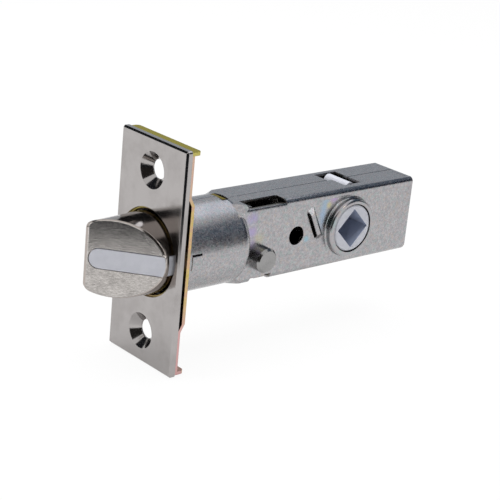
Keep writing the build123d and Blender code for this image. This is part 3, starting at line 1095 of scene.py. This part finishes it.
@dataclass
class Studio:
    """White floor and surround, soft lamps, dark cards and the camera."""

    floor_size: float = 4.0
    floor_drop: float = 0.0004
    floor_white: float = 0.86
    fill: float = 0.45
    floor_glow: float = 0.93
    floor_mirror_glow: float = 0.52
    lens: float = 106.293
    sensor: float = 36.0
    clip: Span = (0.01, 50.0)
    eye: Triple = (-0.208245, -0.263030, 0.122957)
    right: Triple = (0.75470524, -0.64942864, 0.09307228)
    down: Triple = (-0.15452072, -0.31382927, -0.93682151)
    forward: Triple = (0.63760752, 0.69264250, -0.33719877)
    lamps: tuple[Lamp, ...] = (
        Lamp("top_softbox", (0.15, 0.0, 0.7), (0.03, 0.0, 0.0), (0.7, 0.7), 6.0),
        Lamp("left_softbox", (-0.6, 0.25, 0.45), (0.0, 0.0, 0.0), (0.5, 0.5), 3.0),
    )
    cards: tuple[Card, ...] = (
        Card("right_card", (0.441, -0.295, 0.187), (0.04, 0.0, 0.02), (0.46, 0.4), (0.008, 0.016, 0.04)),
        Card("over_card", (0.317, -0.075, 0.2), (0.317, -0.075, -1.0), (0.26, 0.6), (0.085, 0.12, 0.17),
             -11.3),
        Card("camera_card", (-0.28, -0.29, 0.1), (0.0, 0.0, 0.0), (0.6, 0.5), (0.03, 0.028, 0.026)),
        Card("front_floor_card", (-0.2195, -0.1567, -0.0285), (-0.2195, -0.1567, -1.0), (0.35, 0.5),
             turn=35.9),
        Card("back_card", (-0.17, 0.35, 0.32), (0.0, 0.0, 0.02), (0.5, 0.4)),
        Card("grey_card", (0.36, 0.36, 0.14), (0.04, 0.0, 0.0), (0.5, 0.3), (0.49, 0.52, 0.56)),
        Card("bright_card", (0.66, 0.2, 0.75), (0.03, 0.0, 0.0), (0.6, 0.4), (1.55, 1.62, 1.75)),
        Card("spark_card", (0.19, -0.5, 0.3), (0.045, 0.0, 0.0), (0.14, 0.14), (4.0, 4.0, 4.0)),
    )

    def _plane(self, name: str, size: tuple[float, float]) -> bpy.types.Object:
        """Flat rectangle in the XY plane.

        Args:
            name: Its name.
            size: Its sides, in metres.

        Returns:
            The rectangle.
        """
        half = (size[0] / 2, size[1] / 2)
        corners = [(sx * half[0], sy * half[1], 0.0) for sx, sy in ((-1, -1), (1, -1), (1, 1), (-1, 1))]
        mesh = bpy.data.meshes.new(name)
        mesh.from_pydata(corners, [], [(0, 1, 2, 3)])
        obj = placed(name, mesh)
        return obj

    def build_floor(self) -> None:
        """White floor just under the part, white to the camera and still shaded by the part."""
        floor = self._plane("floor", (self.floor_size, self.floor_size))
        floor.location = (0.0, 0.0, CAD_BOX[0].z - self.floor_drop)
        s = ShaderSheet("floor_white")
        s.finish(Base_Color=(self.floor_white,) * 3, Roughness=1.0, Specular_IOR_Level=0.0)
        lit = Wire(s, s.surface.outputs[0])
        share = s.seen(self.floor_glow, self.floor_mirror_glow)
        blend = s.node("ShaderNodeMixShader", None, {0: share, 1: lit, 2: s.glow((1.0, 1.0, 1.0))})
        floor.data.materials.append(s.end(Wire(s, blend.outputs[0])))

    def build_world(self) -> None:
        """White surround for what the camera and reflections see, weaker as fill light."""
        world = bpy.data.worlds.new("white_surround")
        world.use_nodes = True
        bpy.context.scene.world = world
        s = NodeSheet(world.node_tree)
        back = s.find("BACKGROUND")
        s.feed(back.inputs["Color"], (1.0, 1.0, 1.0))
        s.feed(back.inputs["Strength"], self.fill + s.seen() * (1 - self.fill))

    def build_lamps(self) -> None:
        """Soft area lamps."""
        for spec in self.lamps:
            data = bpy.data.lights.new(spec.name, "AREA")
            data.shape = "RECTANGLE"
            data.size, data.size_y = spec.size
            data.energy = spec.power
            lamp = placed(spec.name, data)
            lamp.matrix_world = aimed(spec.place, spec.aim)
            lamp.visible_camera = False
            lamp.visible_glossy = False

    def build_cards(self) -> None:
        """Cards that give the metal its dark and bright reflections."""
        for spec in self.cards:
            card = self._plane(spec.name, spec.size)
            turn = Matrix.Rotation(math.radians(spec.turn), 4, "Z")
            card.matrix_world = aimed(spec.place, spec.aim) @ turn
            s = ShaderSheet(f"{spec.name}_tone")
            card.data.materials.append(s.end(s.glow(spec.tone)))
            card.visible_camera = False
            card.visible_diffuse = False
            card.visible_shadow = False
            card.visible_transmission = False

    def build_camera(self) -> None:
        """Camera at the photograph's place, angle and lens."""
        data = bpy.data.cameras.new("camera")
        data.lens = self.lens
        data.sensor_width = self.sensor
        data.clip_start, data.clip_end = self.clip
        camera = placed("camera", data)
        up = -Vector(self.down)
        turn = Matrix((self.right, up, -Vector(self.forward))).transposed()
        camera.matrix_world = Matrix.Translation(Vector(self.eye)) @ turn.to_4x4()
        bpy.context.scene.camera = camera

    def build(self) -> None:
        """Set up the whole studio."""
        bpy.context.scene.view_settings.view_transform = "Standard"
        self.build_floor()
        self.build_world()
        self.build_lamps()
        self.build_cards()
        self.build_camera()


def main() -> None:
    """Dress every sub-assembly and set up the studio."""
    logging.basicConfig(level=logging.INFO, format="%(message)s")
    dresser = Dresser(frame["nodes"])
    for assembly in (FrontPlates(), LatchBolt(), PressedCase(), Retractor()):
        assembly.dress(dresser)
    Studio().build()


if __name__ == "__main__":
    main()
